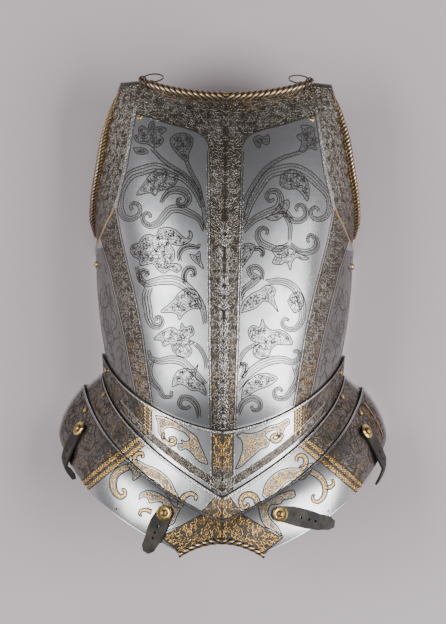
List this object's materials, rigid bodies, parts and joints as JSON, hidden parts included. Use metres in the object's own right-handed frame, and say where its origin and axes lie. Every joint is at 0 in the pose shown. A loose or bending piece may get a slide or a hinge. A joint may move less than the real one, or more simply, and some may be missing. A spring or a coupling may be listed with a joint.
{
  "type": "etched cuirass breastplate with fauld",
  "caption": "Etched and partly gilt steel breastplate with arm gussets, a fauld of hinged lames and leather straps, lying on its back.",
  "frame": {"origin": "the middle of the floor area that the breastplate lies over, on the floor", "axes": "+X to the wearer's left, +Y towards the neck, +Z out of the chest, up from the floor"},
  "size_m": [0.3994, 0.5578, 0.1755],
  "materials": {
    "steel": "polished and etched steel",
    "gilt": "gilt brass, worn",
    "leather": "dark worn leather"
  },
  "bodies": {
    "breastplate": {"breastplate": "steel", "gusset_right": "steel", "gusset_left": "steel", "gusset_rivet_right": "gilt", "gusset_rivet_left": "gilt", "side_rivet_right": "gilt", "side_rivet_left": "gilt", "shoulder_staple_right": "steel", "shoulder_staple_left": "steel", "shoulder_ring_right": "steel", "shoulder_ring_left": "steel"},
    "lame_1": {"fauld_lame_1": "steel", "lame_1_rivet_right": "gilt", "lame_1_rivet_left": "gilt"},
    "lame_2": {"fauld_lame_2": "steel", "lame_2_rivet_right": "gilt", "lame_2_rivet_left": "gilt"},
    "lame_3": {"fauld_lame_3": "steel", "lame_3_rivet_right": "gilt", "lame_3_rivet_left": "gilt", "strap_front_right": "leather", "rosette_front_right": "gilt", "rosette_stud_front_right": "gilt", "strap_front_left": "leather", "rosette_front_left": "gilt", "rosette_stud_front_left": "gilt", "strap_side_right": "leather", "rosette_side_right": "gilt", "rosette_stud_side_right": "gilt", "strap_side_left": "leather", "rosette_side_left": "gilt", "rosette_stud_side_left": "gilt"}
  },
  "joints": [
    {"name": "lame_1_swing", "type": "hinge", "parent": "breastplate", "child": "lame_1", "pos_m": [0, -0.07091, 0.03928], "axis": [-1, 0, 0], "range_deg": [0, 2]},
    {"name": "lame_2_swing", "type": "hinge", "parent": "lame_1", "child": "lame_2", "pos_m": [0, -0.09998, 0.04488], "axis": [-1, 0, 0], "range_deg": [0, 2]},
    {"name": "lame_3_swing", "type": "hinge", "parent": "lame_2", "child": "lame_3", "pos_m": [0, -0.11919, 0.04545], "axis": [-1, 0, 0], "range_deg": [0, 2]}
  ]
}
